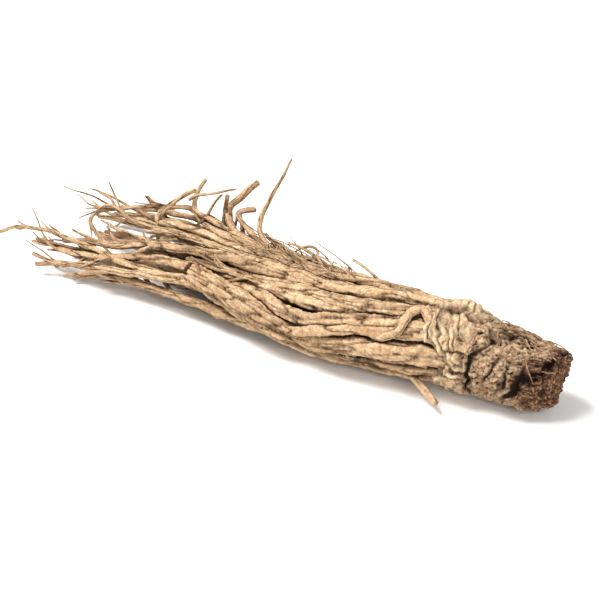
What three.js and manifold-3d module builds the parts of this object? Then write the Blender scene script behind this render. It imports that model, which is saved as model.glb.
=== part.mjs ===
// A dried angelica root, lying on its side: one knobbly root head, the crown, that runs back into a
// tapering tap root with a bundle of branch roots wrapped around it. It grew as one piece, so the whole
// root is one closed solid.
//
// Millimetres. +X points along the root out of the crown, +Z is up and the root lies on z = 0.

import * as THREE from "three";
import { mergeVertices } from "three/addons/utils/BufferGeometryUtils.js";
import Module from "manifold-3d";

// ---------------------------------------------------------------- driving dimensions

// The envelope of the root, crown to tips: [x, centre y, centre z, half width, half height].
// The crown fills it, and the branch roots lie against its inside.
const ENVELOPE = [
  [115, 3, 18, 3, 3],
  [112.5, 2, 14, 9.5, 10.5],
  [109, 0.5, 13, 12, 13],
  [104, -1, 13.5, 13.7, 13.5],
  [90, -1.5, 14.8, 15, 14.8],
  [76, -3.5, 17, 17.4, 17],
  [64, -5, 16.5, 17.8, 16.5],
  [33, -6, 15.5, 21, 15.5],
  [3, -3, 14, 23, 14],
  [-30, 1, 13, 24, 13],
  [-62, 4, 12, 27, 12],
  [-97, 6, 11, 30, 11],
  [-140, 8, 10, 33, 10],
];
const CROWN_SIDES = 18; // facets around the crown
const CROWN_RINGS = 13; // rings from the crown's tip back to its neck
const CROWN_LOBES = 0.05; // how far its lobes swell and sink, as a share of its radius
const CROWN_BACK = 46; // x where the crown has narrowed to the tap root
const CROWN_SHOULDER = 70; // x where it starts to narrow, under the first branch roots
const NECK_SHARE = 0.55; // how much of the envelope is left at its back

const ROOT_SIDES = 7; // facets around a branch root
const RING_STEP = 12; // length of one facet along a branch root
const BLUNT = 0.45; // length of a tip's rounding, in tip radii

// The branch roots. Each starts inside the crown. radii run from its base to its tip. along is a list of
// [x, clock angle in degrees, depth]: 0 degrees is +Y, 90 up, 180 -Y and 270 down, and at depth 1 the
// root's outer side touches the envelope. free is where the tip goes once it has left the bundle, as x, y, z.
const BRANCH_ROOTS = [
  {
    // the thickest one, along the lower front, broken off blunt
    radii: [6.2, 5.2, 4.6, 4.2],
    along: [[78, 205, 0.9], [52, 222, 1], [38, 222, 1], [23, 212, 1], [11, 182, 1], [-6, 156, 1], [-21, 141, 1], [-31, 134, 1]],
  },
  {
    // lies on the thickest one and grows into it
    radii: [3.6, 3.3, 2.8, 2.2],
    along: [[80, 168, 0.9], [62, 173, 1], [50, 176, 1], [38, 184, 1], [26, 192, 0.98], [13, 186, 0.9]],
  },
  {
    // the smooth one that sweeps down the front and crosses the thickest one's end
    radii: [3.1, 2.8, 2.6, 2.3, 1.8, 1.2, 0.8],
    along: [[76, 122, 0.9], [54, 134, 1], [35, 146, 1], [24, 155, 1.02], [12, 149, 1], [-3, 138, 0.96], [-16, 146, 0.9],
      [-34, 158, 0.95], [-50, 165, 1], [-66, 178, 1], [-82, 186, 1]],
    free: [[-97, -22, 7], [-108, -24, 9]],
  },
  {
    radii: [2.1, 1.8, 1.5],
    along: [[74, 140, 0.95], [56, 147, 1.02], [44, 152, 1.04], [32, 164, 1.04], [20, 176, 1.02], [12, 178, 0.9]],
  },
  {
    // wavy, with a hooked tip
    radii: [2.9, 2.7, 2.4, 2.0, 1.5],
    along: [[78, 94, 0.9], [60, 110, 1], [46, 116, 1.03], [32, 117, 1], [18, 112, 1.02], [2, 113, 1], [-12, 115, 1.03],
      [-22, 121, 1], [-29, 112, 1.08]],
    free: [[-30, -3, 27]],
  },
  {
    radii: [3.2, 3.0, 2.7, 2.3, 1.8, 1.3, 0.8],
    along: [[80, 62, 0.9], [60, 78, 1], [44, 90, 1.02], [28, 97, 1], [10, 94, 1.02], [-8, 91, 1], [-26, 94, 1.02], [-44, 91, 1],
      [-60, 94, 1]],
    free: [[-74, 4, 22], [-84, 5, 22], [-91, 8, 23], [-97, 5, 19]],
  },
  {
    // leaves the bundle and stands up as a long thin stray
    radii: [3.0, 2.8, 2.5, 2.3, 1.9, 1.3, 0.8],
    along: [[78, 42, 0.9], [56, 55, 1], [38, 62, 1.02], [24, 78, 1.02], [10, 76, 1], [-3, 66, 1]],
    free: [[-12, 9, 25], [-19, 13, 28], [-22, 18, 32], [-21, 22, 37], [-18, 26, 45], [-15, 30, 54]],
  },
  {
    radii: [3.4, 3.2, 2.9, 2.5, 2.1, 1.6, 1.1],
    along: [[60, 96, 0.7], [36, 84, 0.85], [14, 84, 0.95], [-3, 82, 1], [-16, 76, 1.02], [-31, 66, 1], [-50, 47, 1]],
    free: [[-64, 28, 19], [-73, 26, 20], [-82, 17, 20], [-90, 8, 20], [-97, 2, 19], [-92, -4, 17]],
  },
  {
    radii: [2.6, 2.4, 2.1, 1.6, 1.0],
    along: [[50, 118, 0.8], [20, 103, 0.88], [-8, 104, 0.95], [-28, 106, 1], [-44, 114, 1], [-58, 122, 1], [-70, 134, 1],
      [-84, 140, 1]],
    free: [[-97, -17, 15]],
  },
  {
    // the longest one
    radii: [3.0, 2.7, 2.4, 2.0, 1.5, 1.1, 0.8],
    along: [[72, 186, 0.85], [44, 196, 0.8], [14, 168, 0.84], [-10, 160, 0.88], [-28, 164, 1], [-46, 160, 1], [-64, 157, 1],
      [-80, 148, 1]],
    free: [[-100, -17, 17], [-116, -19, 17], [-128, -23, 13]],
  },
  {
    radii: [3.4, 3.1, 2.7, 2.2, 1.6, 1.0],
    along: [[76, 232, 0.9], [48, 246, 1], [20, 238, 1], [-6, 212, 1], [-30, 204, 1], [-52, 200, 1], [-74, 206, 1], [-92, 206, 1]],
    free: [[-106, -25, 5]],
  },
  {
    radii: [3.0, 2.7, 2.3, 1.8, 1.2],
    along: [[74, 262, 0.9], [46, 270, 1], [14, 262, 1], [-16, 240, 1], [-44, 226, 1], [-70, 224, 1]],
    free: [[-88, -19, 2.2]],
  },
  {
    radii: [3.6, 3.4, 3.0, 2.4, 1.7, 1.0],
    along: [[78, 288, 0.9], [48, 292, 1], [16, 290, 1], [-18, 276, 1], [-50, 262, 1], [-82, 254, 1]],
    free: [[-104, -6, 2.5]],
  },
  {
    radii: [4.2, 3.9, 3.4, 2.7, 1.9, 1.1],
    along: [[78, 322, 0.9], [50, 318, 1], [16, 312, 1], [-20, 306, 1], [-54, 296, 1], [-84, 292, 1]],
    free: [[-108, 14, 2]],
  },
  {
    radii: [3.4, 3.2, 2.8, 2.3, 1.6, 0.9],
    along: [[76, 350, 0.9], [46, 342, 1], [12, 338, 1], [-24, 334, 1], [-56, 326, 1]],
    free: [[-78, 29, 4], [-98, 28, 3.5], [-114, 23, 5]],
  },
  {
    radii: [3.9, 3.6, 3.0, 2.4, 1.7, 1.0],
    along: [[78, 12, 0.9], [48, 6, 1], [16, 4, 1], [-18, 358, 1], [-50, 352, 1]],
    free: [[-72, 31, 9], [-92, 31, 7], [-108, 27, 6]],
  },
  {
    radii: [3.1, 2.9, 2.6, 2.2, 1.6, 1.0],
    along: [[76, 32, 0.9], [50, 30, 1], [20, 30, 1], [-12, 22, 1], [-42, 20, 1]],
    free: [[-62, 27, 16], [-78, 28, 14], [-92, 24, 14]],
  },
  {
    // short, thick and broken: stands off the back of the bundle
    radii: [2.8, 2.6, 2.2, 1.9, 1.7],
    along: [[58, 50, 0.8], [28, 50, 0.95], [2, 46, 1], [-20, 42, 1]],
    free: [[-34, 17, 22], [-42, 24, 27], [-38, 29, 33], [-33, 33, 38]],
  },
  {
    radii: [2.4, 2.2, 1.8, 1.4, 1.1],
    along: [[40, 66, 0.85], [12, 60, 0.95], [-12, 54, 0.98]],
    free: [[-26, 17, 23], [-36, 22, 27], [-31, 28, 28]],
  },
  {
    radii: [2.4, 2.0, 1.6, 1.2, 0.9],
    along: [[-6, 60, 0.9], [-30, 52, 1.02]],
    free: [[-48, 19, 23], [-57, 21, 24], [-59, 25, 29], [-57, 29, 35]],
  },
  {
    radii: [2.2, 2.0, 1.7, 1.3, 0.9],
    along: [[-14, 84, 0.9], [-38, 80, 1.02]],
    free: [[-56, 7, 23], [-66, 8, 22], [-68, 13, 24], [-65, 19, 27], [-59, 25, 31]],
  },
  {
    radii: [2.2, 2.0, 1.7, 1.4, 1.0],
    along: [[38, 128, 0.6], [14, 130, 0.8], [-14, 128, 0.92], [-34, 134, 0.98], [-56, 142, 1], [-76, 160, 0.95], [-92, 172, 0.9]],
    free: [[-112, -14, 10]],
  },
  {
    // a short cut peg under the front
    radii: [1.9, 1.8, 1.7],
    along: [[64, 214, 0.8]],
    free: [[73, -18.5, 7.5], [79.5, -26, 7.5]],
  },
];

// The tap root, the bundle's core, from inside the crown to its thin end.
const TAP_ROOT = {
  radii: [12, 11, 9, 6.5, 4.5, 3, 1.8],
  free: [[86, -3, 17], [60, -5, 16.5], [32, -5, 15.5], [2, -2, 14], [-30, 2, 13], [-62, 6, 11], [-98, 9, 8]],
};

// Knobs on the crown and round its neck: [x, clock angle, depth, radius along the root, radius across].
const KNOBS = [
  [77, 205, 0.95, 5, 4.6],
  [84, 170, 0.98, 5.5, 4.2],
  [91, 190, 0.93, 9, 7],
  [82, 138, 0.98, 6, 4.5],
  [96, 226, 0.9, 8, 6.5],
  [92, 108, 0.96, 7, 4.5],
  [106, 196, 0.86, 6, 5],
  [108, 120, 0.9, 6.5, 4.5],
  [108, 262, 0.86, 6, 5],
  [92, 304, 0.9, 8, 6.5],
  [83, 348, 0.92, 7, 5.5],
  [103, 12, 0.9, 7, 5.5],
  [76, 70, 0.9, 6, 4],
];
const KNOB_SIDES = 7;

// Where the box of the finished root has its middle in x and y, as drawn. The solid is moved so that this
// point is the origin.
const DRAWN_MIDDLE = { x: -6.5, y: 3.4 };

// ---------------------------------------------------------------- where things are on the root

/** The envelope at x: its centre and its half width and half height. */
function envelopeAt(x) {
  let i = 0;
  while (i < ENVELOPE.length - 2 && x < ENVELOPE[i + 1][0]) i += 1;
  const [from, to] = [ENVELOPE[i], ENVELOPE[i + 1]];
  const t = THREE.MathUtils.clamp((from[0] - x) / (from[0] - to[0]), 0, 1);
  const [cy, cz, b, c] = [1, 2, 3, 4].map((k) => THREE.MathUtils.lerp(from[k], to[k], t));
  return { cy, cz, b, c };
}

/** The middle of a root of this radius that lies in the envelope at x, at a clock angle and depth. */
function onEnvelope(x, clock, depth, radius) {
  const { cy, cz, b, c } = envelopeAt(x);
  const angle = THREE.MathUtils.degToRad(clock);
  const y = cy + (b * depth - radius) * Math.cos(angle);
  const z = cz + (c * depth - radius) * Math.sin(angle);
  return new THREE.Vector3(x, y, z);
}

/** A value from a list that is spread evenly from 0 to 1. */
function spread(list, t) {
  const at = THREE.MathUtils.clamp(t, 0, 1) * (list.length - 1);
  const i = Math.min(Math.floor(at), list.length - 2);
  return THREE.MathUtils.lerp(list[i], list[i + 1], at - i);
}

/** The smooth line that a root follows. */
function routeOf({ radii, along = [], free = [] }) {
  const count = along.length + free.length;
  const points = along.map(([x, clock, depth], i) =>
    onEnvelope(x, clock, depth, spread(radii, i / Math.max(count - 1, 1))));
  points.push(...free.map((p) => new THREE.Vector3(...p)));
  return new THREE.CatmullRomCurve3(points, false, "centripetal");
}

// ---------------------------------------------------------------- shapes

/** One root: its profile, radius against length, turned on a lathe and then bent along its route. */
function rootGeometry(root) {
  const route = routeOf(root);
  const length = route.getLength();
  const tip = root.radii.at(-1);
  const rings = Math.max(3, Math.round(length / RING_STEP));
  const cap = BLUNT * tip;
  const profile = [new THREE.Vector2(0, 0)];
  for (let i = 0; i <= rings; i += 1) {
    const t = i / rings;
    profile.push(new THREE.Vector2(spread(root.radii, t), t * (length - cap)));
  }
  profile.push(new THREE.Vector2(0, length));
  const straight = new THREE.LatheGeometry(profile.reverse(), ROOT_SIDES);
  return bend(straight, route, length);
}

/** Bends a shape that stands along +Y so that its axis follows a route. */
function bend(geometry, route, length) {
  const steps = 60;
  const frames = route.computeFrenetFrames(steps, false);
  const position = geometry.getAttribute("position");
  for (let i = 0; i < position.count; i += 1) {
    const t = THREE.MathUtils.clamp(position.getY(i) / length, 0, 1);
    const k = Math.round(t * steps);
    const point = route.getPointAt(t)
      .addScaledVector(frames.normals[k], position.getX(i))
      .addScaledVector(frames.binormals[k], position.getZ(i));
    position.setXYZ(i, point.x, point.y, point.z);
  }
  return geometry;
}

/** The crown: a lathe of radius 1 whose rings are then fitted to the envelope. */
function crownGeometry() {
  const front = ENVELOPE[0][0];
  const profile = [new THREE.Vector2(0, front)];
  for (let i = 0; i < CROWN_RINGS; i += 1) {
    // rings lie closer together at the crown's tip
    const t = (i / (CROWN_RINGS - 1)) ** 1.25;
    profile.push(new THREE.Vector2(1, THREE.MathUtils.lerp(front, CROWN_BACK, t)));
  }
  profile.push(new THREE.Vector2(0, CROWN_BACK));
  const geometry = new THREE.LatheGeometry(profile, CROWN_SIDES);
  const position = geometry.getAttribute("position");
  for (let i = 0; i < position.count; i += 1) {
    const x = position.getY(i);
    const { cy, cz, b, c } = envelopeAt(x);
    const clock = Math.atan2(position.getZ(i), position.getX(i));
    const lobes = CROWN_LOBES * (Math.sin(3 * clock + x / 9) + Math.sin(5 * clock - x / 6) / 2 - 1);
    const narrow = THREE.MathUtils.smoothstep(x, CROWN_BACK, CROWN_SHOULDER);
    const share = THREE.MathUtils.lerp(NECK_SHARE, 1, narrow) * (1 + lobes);
    position.setXYZ(i, x, cy + position.getX(i) * b * share, cz + position.getZ(i) * c * share);
  }
  return geometry;
}

/** A knob of bark, a squashed ball half sunk in the crown. */
function knobGeometry([x, clock, depth, along, across]) {
  const place = onEnvelope(x, clock, depth, across * 0.5);
  return new THREE.SphereGeometry(1, KNOB_SIDES, KNOB_SIDES - 2)
    .scale(along, across, across)
    .rotateX(THREE.MathUtils.degToRad(clock))
    .translate(place.x, place.y, place.z);
}

// ---------------------------------------------------------------- joining

const wasm = await Module();
wasm.setup();

/** A closed geometry as a solid that can be joined and cut. */
function solidOf(geometry) {
  const bare = geometry.clone().deleteAttribute("normal").deleteAttribute("uv");
  const merged = mergeVertices(bare, 1e-3);
  const solid = new wasm.Manifold(new wasm.Mesh({
    numProp: 3,
    vertProperties: merged.getAttribute("position").array,
    triVerts: new Uint32Array(merged.index.array),
  }));
  return solid;
}

/** A solid as a geometry again. */
function geometryOf(solid) {
  const { vertProperties, triVerts } = solid.getMesh();
  const geometry = new THREE.BufferGeometry();
  geometry.setAttribute("position", new THREE.BufferAttribute(vertProperties, 3));
  geometry.setIndex(new THREE.BufferAttribute(triVerts, 1));
  geometry.computeVertexNormals();
  return geometry;
}

/** A solid's outermost closed surface alone, so that no void stays sealed between its roots. */
function outermost(solid) {
  return solid.decompose().reduce((most, one) => (one.volume() > most.volume() ? one : most));
}

/** Everything below the surface that the root lies on, as a block. */
function underTable() {
  const size = 600;
  return solidOf(new THREE.BoxGeometry(size, size, size).translate(0, 0, -size / 2));
}

const pieces = [
  crownGeometry(),
  rootGeometry(TAP_ROOT),
  ...BRANCH_ROOTS.map(rootGeometry),
  ...KNOBS.map(knobGeometry),
].map(solidOf);
const grown = pieces.reduce((whole, piece) => whole.add(piece));
const rested = outermost(grown.subtract(underTable()));

const bark = new THREE.MeshStandardMaterial({
  name: "dried_bark",
  color: new THREE.Color(0.66, 0.5, 0.32),
  roughness: 0.9,
  metalness: 0,
});
const angelicaRoot = new THREE.Mesh(geometryOf(rested), bark);
angelicaRoot.name = "angelica_root";
angelicaRoot.position.set(-DRAWN_MIDDLE.x, -DRAWN_MIDDLE.y, 0);

const part = new THREE.Group();
part.add(angelicaRoot);

export default part;
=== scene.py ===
# %% [markdown]
# # A dried angelica root
#
# The real thing is the whole root of one plant, dug up, washed and dried until it is as hard as soft wood.
# It has a knobbly crown, where the leaf stalks stood, a short tap root behind it, and a bundle of branch
# roots that wrap the tap root and fan out to thin tips. Drying has pulled its skin into long wrinkles on
# the branch roots, into folds round the neck and into pits on the crown.
#
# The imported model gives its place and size. Everything here is drawn around that frame, in the same
# places, so the first step loads it and keeps its box.

# %% Load the frame
import itertools
import math

import bpy
import numpy as np
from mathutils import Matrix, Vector


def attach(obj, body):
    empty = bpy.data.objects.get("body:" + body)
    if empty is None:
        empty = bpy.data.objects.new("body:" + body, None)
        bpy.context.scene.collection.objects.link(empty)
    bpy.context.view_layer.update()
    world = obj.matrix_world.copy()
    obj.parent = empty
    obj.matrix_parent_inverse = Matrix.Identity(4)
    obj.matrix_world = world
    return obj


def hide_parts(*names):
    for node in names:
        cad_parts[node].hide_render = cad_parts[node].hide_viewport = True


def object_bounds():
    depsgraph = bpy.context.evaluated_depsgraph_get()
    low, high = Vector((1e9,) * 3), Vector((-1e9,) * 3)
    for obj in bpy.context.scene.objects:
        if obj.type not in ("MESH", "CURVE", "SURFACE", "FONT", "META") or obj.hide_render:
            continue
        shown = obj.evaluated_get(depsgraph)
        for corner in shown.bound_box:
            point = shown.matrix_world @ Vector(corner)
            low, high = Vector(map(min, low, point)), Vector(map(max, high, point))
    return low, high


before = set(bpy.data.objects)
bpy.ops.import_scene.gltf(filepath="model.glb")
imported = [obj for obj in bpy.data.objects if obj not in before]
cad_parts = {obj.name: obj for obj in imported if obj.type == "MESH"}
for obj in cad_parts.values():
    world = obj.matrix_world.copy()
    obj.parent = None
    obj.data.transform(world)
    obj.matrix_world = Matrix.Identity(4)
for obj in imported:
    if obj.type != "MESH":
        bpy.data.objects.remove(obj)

CAD_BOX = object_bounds()
print("frame box, m:", [[round(v, 4) for v in corner] for corner in CAD_BOX])

# %% [markdown]
# ## Where things are
#
# The root is long and thin, so a place on it is easiest to say as a distance along it, x, and a clock
# angle round it: 0 degrees is +Y, 90 is up, 180 is -Y and 270 is underneath. A short table gives the
# envelope, the smooth outer shape that the crown fills and the branch roots lie against. All of it is in
# millimetres, drawn about the root's own axis, and one shift brings it into the frame.

# %% The envelope
MM = 0.001
SHIFT = np.array([6.5, -3.4, 0.0])
# x, centre y, centre z, half width, half height, from the branch tips to the crown's end
ENVELOPE = np.array([
    [-140, 8, 10, 33, 10],
    [-97, 6, 11, 30, 11],
    [-62, 4, 12, 27, 12],
    [-30, 1, 13, 24, 13],
    [3, -3, 14, 23, 14],
    [33, -6, 15.5, 21, 15.5],
    [64, -5, 16.5, 17.8, 16.5],
    [76, -3.5, 17, 17.4, 17],
    [90, -1.5, 14.8, 15, 14.8],
    [104, -1, 13.5, 13.7, 13.5],
    [109, 0.5, 13, 12, 13],
    [112.5, 2, 14, 9.5, 10.5],
    [115, 3, 18, 3, 3],
])
# clock, x: where the skin of the crown ends, all the way round the neck
COLLAR = np.array([
    [20, 66], [45, 63], [65, 67], [86, 66], [98, 63], [108, 67], [122, 68], [136, 66], [150, 71],
    [163, 76], [175, 79], [190, 77], [205, 83], [222, 79], [240, 74], [262, 70], [290, 65], [312, 71],
    [330, 75], [350, 69],
])


def envelope_at(x):
    """The envelope's centre y and z and its half width and half height at each x."""
    return [np.interp(x, ENVELOPE[:, 0], ENVELOPE[:, k]) for k in (1, 2, 3, 4)]


def on_envelope(x, clock, depth=1.0, radius=0.0):
    """A point at a clock angle; at depth 1 a root of that radius just touches the envelope."""
    centre_y, centre_z, half_width, half_height = envelope_at(x)
    angle = np.radians(clock)
    y = centre_y + (half_width * depth - radius) * np.cos(angle)
    z = centre_z + (half_height * depth - radius) * np.sin(angle)
    return np.stack(np.broadcast_arrays(np.asarray(x, float), y, z), axis=-1)


def clock_of(points):
    """The clock angle in degrees, and how far out each point is as a share of the envelope."""
    centre_y, centre_z, half_width, half_height = envelope_at(points[..., 0])
    across = (points[..., 1] - centre_y) / half_width
    up = (points[..., 2] - centre_z) / half_height
    return np.degrees(np.arctan2(up, across)) % 360, np.hypot(across, up)


def outward(clock):
    """The direction out of the bundle at a clock angle."""
    angle = math.radians(clock)
    return 0, math.cos(angle), math.sin(angle)


def past_collar(points):
    """How far each point lies on the crown's side of the collar, in mm along x."""
    return points[..., 0] - np.interp(clock_of(points)[0], COLLAR[:, 0], COLLAR[:, 1], period=360)


def smoothstep(low, high, value):
    """0 below low, 1 above high and an even S between them."""
    t = np.clip((value - low) / (high - low), 0, 1)
    return t * t * (3 - 2 * t)


def unit(vector):
    """The same direction, one long."""
    return vector / np.linalg.norm(vector)


# %% [markdown]
# ## The camera
#
# The camera comes first, so that each piece can be looked at from the start. It looks down on the root
# from the front right at about thirty degrees, through a lens a little longer than normal, which keeps
# the crown from bulging towards the eye.

# %% Camera
AZIMUTH, ELEVATION = math.radians(33), math.radians(30.5)
LOOK_AT = Vector((8, 0, 12)) * MM + Vector(SHIFT) * MM
CAMERA_DISTANCE = 476 * MM
LENS, SENSOR = 75, 36          # mm
towards_camera = Vector((
    math.sin(AZIMUTH) * math.cos(ELEVATION),
    -math.cos(AZIMUTH) * math.cos(ELEVATION),
    math.sin(ELEVATION),
))
bpy.ops.object.camera_add(location=LOOK_AT + towards_camera * CAMERA_DISTANCE)
camera = bpy.context.object
camera.name = "camera"
camera.rotation_euler = towards_camera.to_track_quat("Z", "Y").to_euler()
camera.data.lens = LENS
camera.data.sensor_width = SENSOR
bpy.context.scene.camera = camera
print("camera at, m:", [round(v, 3) for v in camera.location])

# %% [markdown]
# ## Uneven on purpose
#
# Nothing on a dried root is even. One smooth random field, read at different scales, gives the wobble of
# a route, the lumps of a branch root and the wrinkles in its skin. It is worked out from whole-number
# cells, so it gives the same root each time. A `crease` is where the field passes through zero: a thin
# wandering line, which is just how a wrinkle runs.

# %% Smooth random field
def uneven(points, seed=0):
    """Smooth random values from about -1 to 1, with one bump or hollow a unit."""
    points = np.asarray(points, float)
    shape = points.shape[:-1]
    points = points.reshape(-1, 3)
    cell = np.floor(points).astype(np.int64)
    inside = points - cell
    ease = inside ** 3 * (inside * (inside * 6 - 15) + 10)
    total = np.zeros(len(points))
    for corner in itertools.product((0, 1), repeat=3):
        # large odd numbers scramble the corner's place and the seed into a slope of its own
        at = cell + corner
        mixed = at[:, 0] * 374761393 + at[:, 1] * 668265263 + at[:, 2] * 1440662683 + seed * 1274126177
        mixed = (mixed ^ (mixed >> 13)) * 1103515245
        mixed ^= mixed >> 16
        slope = np.stack([mixed & 255, mixed >> 8 & 255, mixed >> 16 & 255], axis=1) / 127.5 - 1
        weight = np.prod(np.where(corner, ease, 1 - ease), axis=1)
        total += weight * np.sum(slope * (inside - corner), axis=1)
    return (total * 1.6).reshape(shape)


def crease(points, width, seed=0):
    """1 along thin wandering lines and 0 away from them."""
    return np.exp(-((uneven(points, seed) / width) ** 2))


# %% [markdown]
# ## A route
#
# Each branch root is drawn by a few points that it passes through. A smooth line through them is cut into
# even steps, and it gets a slight wobble, because no root grows straight. At each step a small cross, one
# arm pointing out of the bundle, says which way is round the root.

# %% Smooth routes
RING_STEP = 0.55   # mm


def smooth_line(points, step=RING_STEP):
    """A smooth line through the points, in even steps, and the length run at each step."""
    points = np.asarray(points, float)
    ends = np.vstack([2 * points[0] - points[1], points, 2 * points[-1] - points[-2]])
    t = np.linspace(0, 1, 24, endpoint=False)[:, None]
    stretches = []
    for a, b, c, d in zip(ends, ends[1:], ends[2:], ends[3:]):
        bend = (2 * a - 5 * b + 4 * c - d) * t ** 2 + (3 * (b - c) + d - a) * t ** 3
        stretches.append((2 * b + (c - a) * t + bend) / 2)
    line = np.vstack(stretches + [points[-1:]])
    run = np.r_[0, np.cumsum(np.linalg.norm(np.diff(line, axis=0), axis=1))]
    even = np.linspace(0, run[-1], max(5, round(run[-1] / step)) + 1)
    return np.column_stack([np.interp(even, run, line[:, k]) for k in range(3)]), even


def crosses(line, out):
    """At each step, two directions square to the line; the first starts out pointing out."""
    along = np.gradient(line, axis=0)
    along /= np.linalg.norm(along, axis=1)[:, None]
    first = np.empty_like(line)
    arm = np.asarray(out, float)
    for i, ahead in enumerate(along):
        arm = unit(arm - ahead * (arm @ ahead))
        first[i] = arm
    return first, np.cross(along, first)


def radius_along(radii, share):
    """The radius at a share of the way from base to tip; the radii given are evenly spaced."""
    return np.interp(share, np.linspace(0, 1, len(radii)), radii)


# %% [markdown]
# ## One branch root
#
# On the real plant a branch root is a rod of pith with a skin of bark. Here it starts as a flat sheet of
# bark, a grid as long as the root and as wide as its girth. The sheet is rolled round its route, its two
# long edges are welded, and each end is drawn together. A curve with a round bevel would give the same
# rod faster, but the sheet keeps, for every point, how far along and round the root it is, and the
# wrinkles need both.

# %% Roll a sheet of bark round a route
def deselect_all():
    """Back to object mode, with nothing selected."""
    if bpy.context.object and bpy.context.object.mode != "OBJECT":
        bpy.ops.object.mode_set(mode="OBJECT")
    bpy.ops.object.select_all(action="DESELECT")


def set_values(piece, name, kind, values):
    """Stores one value a point on the piece, for its material to read."""
    layer = piece.data.attributes.new(name, kind, "POINT")
    field = "vector" if kind == "FLOAT_VECTOR" else "value"
    layer.data.foreach_set(field, np.ascontiguousarray(values, np.float32).ravel())


def rolled_sheet(name, places, grain, painted_shade, tone, outside=None):
    """A closed rod from places[ring, side]; the other arrays hold a value for each of those places."""
    rings, sides = places.shape[0] - 1, places.shape[1]
    deselect_all()
    bpy.ops.mesh.primitive_grid_add(x_subdivisions=sides, y_subdivisions=rings, size=1)
    piece = bpy.context.object
    piece.name = name
    flat = np.empty(len(piece.data.vertices) * 3)
    piece.data.vertices.foreach_get("co", flat)
    flat = flat.reshape(-1, 3)
    side = np.rint((flat[:, 0] + 0.5) * sides).astype(int) % sides
    ring = np.rint((flat[:, 1] + 0.5) * rings).astype(int)
    rolled = (places[ring, side] + SHIFT) * MM
    piece.data.vertices.foreach_set("co", rolled.ravel())
    set_values(piece, "grain", "FLOAT_VECTOR", grain[ring, side])
    # painted shade for the creases, which the material mixes towards dark brown
    set_values(piece, "painted_shade", "FLOAT", painted_shade[ring, side])
    set_values(piece, "tone", "FLOAT", tone[ring, side])
    if outside is not None:
        set_values(piece, "outside", "FLOAT_VECTOR", outside[ring, side])
    bpy.ops.object.mode_set(mode="EDIT")
    bpy.ops.mesh.select_all(action="SELECT")
    bpy.ops.mesh.remove_doubles(threshold=1e-7)
    bpy.ops.object.mode_set(mode="OBJECT")
    bpy.ops.object.shade_smooth()
    return piece


# %% [markdown]
# ## Wrinkled bark
#
# Drying shrinks the pith more than the skin, so the skin buckles into ridges that run along the root and
# lean a little round it. Between the ridges are narrow creases, darkened with painted shade, and across them
# lie short raised scars where rootlets broke off. The same relief is read on the free roots and on their
# bases in the crown, so the wrinkles run on from one to the other.

# %% Relief of a branch root
WRINKLE = 2.8      # mm between the long ridges, measured round the root
CRINKLE = 1.4      # mm between the fine lines, which run every way
SCAR = 0.8         # mm from scar to scar, along the root
LEAN = 0.02        # how far the ridges wind round the root, radians a mm


def bark_relief(angle, run, radius, seed):
    """Height of the bark in mm, its grain coordinates in mm, and the painted shade that each crease gets."""
    wound = angle + LEAN * run + 0.35 * math.sin(seed)
    girth = max(np.mean(radius), 0.8)
    grain = np.stack([np.cos(wound) * girth, np.sin(wound) * girth, run + 37.0 * seed], axis=-1)
    size = np.clip(radius / 3.2, 0.15, 1.3)
    ridge = crease(grain / [WRINKLE, WRINKLE, 14], 0.12, seed)
    crinkle = crease(grain / [CRINKLE, CRINKLE, 1.5], 0.2, seed + 1)
    ring = crease(grain / [5, 5, 2.2], 0.13, seed + 8)
    swell = 0.36 * uneven(grain / [4.5, 4.5, 8], seed + 2) + 0.14 * uneven(grain / [2.0, 2.0, 4.5], seed + 3)
    scars = np.maximum(uneven(grain / [2.0, 2.0, SCAR], seed + 4) - 0.1, 0)
    grit = uneven(grain / [0.6, 0.6, 0.8], seed + 5)
    height = size * (0.85 * swell - 0.5 * ridge - 0.26 * crinkle - 0.16 * ring + 0.32 * scars + 0.08 * grit)
    # painted shade: darker in the long creases, the fine lines and the rings, lighter on the scars and
    # swellings
    painted_shade = np.clip(0.65 * ridge + 0.34 * crinkle + 0.18 * ring - 0.3 * scars - 0.1 * swell, 0, 1)
    return height, grain, painted_shade


# %% Grow one branch root
OFF_SKIN = 0.9     # mm off the skin, where the room round a point is judged
FILLED = 0.88      # share of a root's radius that counts as full
rods = []          # the middle line and full radius of every root grown, for finding the gaps


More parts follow.
